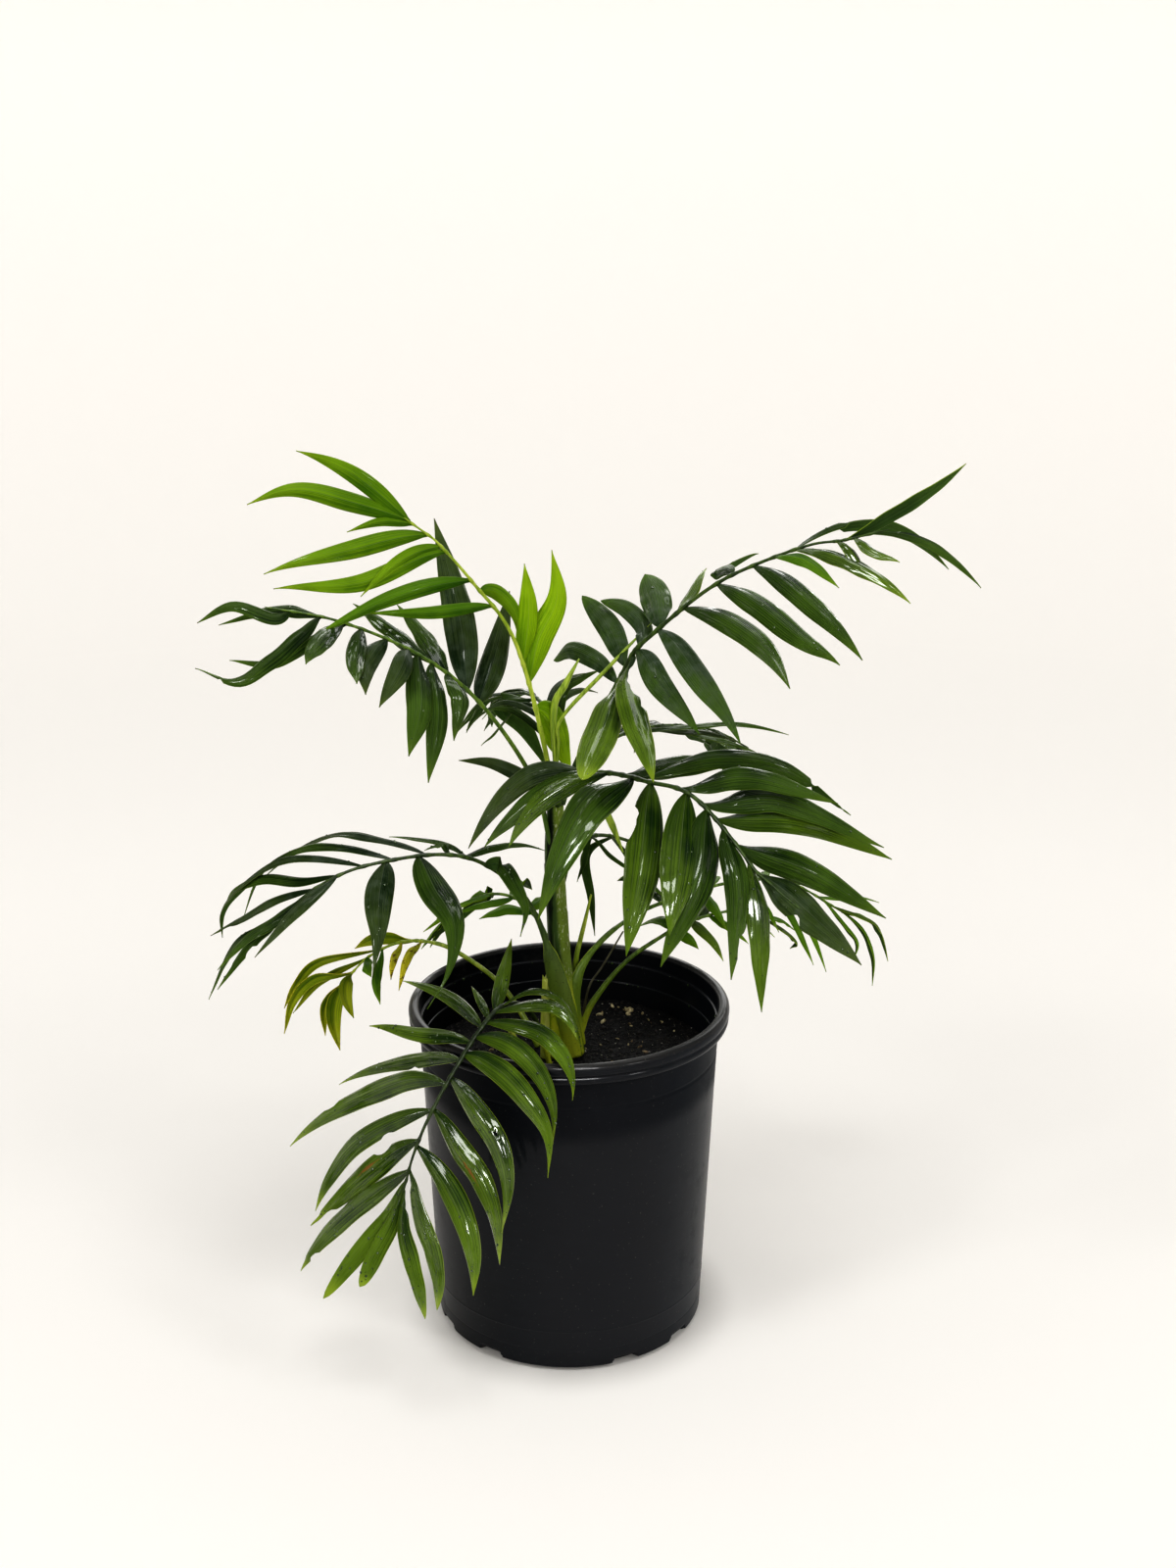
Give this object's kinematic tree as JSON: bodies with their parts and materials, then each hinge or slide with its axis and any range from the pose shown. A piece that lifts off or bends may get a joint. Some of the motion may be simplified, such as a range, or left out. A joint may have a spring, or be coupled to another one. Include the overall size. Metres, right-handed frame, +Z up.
{
  "type": "potted parlour palm",
  "caption": "Small feather-leaved palm with arching fronds of lance-shaped leaflets, growing in a round tapered black plastic nursery pot filled with potting mix.",
  "frame": {"origin": "centre of the pot's flat underside", "axes": "+Z up along the pot's axis, -Y towards the front, +X to the right"},
  "size_m": [0.496, 0.3909, 0.6415],
  "materials": {
    "pot": "satin black injection-moulded plastic, dusty at the rim",
    "soil": "dark damp potting mix with perlite specks",
    "stem": "smooth green sheathed stem, yellow-green at the foot",
    "spear": "unopened leaf, yellow-green and smooth",
    "leaf_young": "young leaf blade, bright yellow-green, satin",
    "leaf_mid": "green leaf blade, waxy gloss",
    "leaf_deep": "dark green leaf blade, waxy gloss"
  },
  "bodies": {
    "root": {"pot": "pot", "soil": "soil", "stem": "stem", "stub_front": "stem", "stub_left": "stem", "spear": "spear", "frond_upper_left_young": "leaf_young", "frond_left_dark": "leaf_deep", "frond_upper_right": "leaf_deep", "frond_right_front": "leaf_deep", "frond_back_right": "leaf_deep", "frond_behind_left": "leaf_deep", "frond_left_low_stalk": "leaf_deep", "frond_left_low": "leaf_deep", "frond_right_low_stalk": "leaf_mid", "frond_right_low": "leaf_mid", "frond_behind_low": "leaf_mid", "frond_behind_right": "leaf_deep", "frond_right_small": "leaf_mid", "frond_left_small": "leaf_young", "frond_front_left_stalk": "leaf_mid", "frond_front_left": "leaf_mid"}
  },
  "joints": []
}
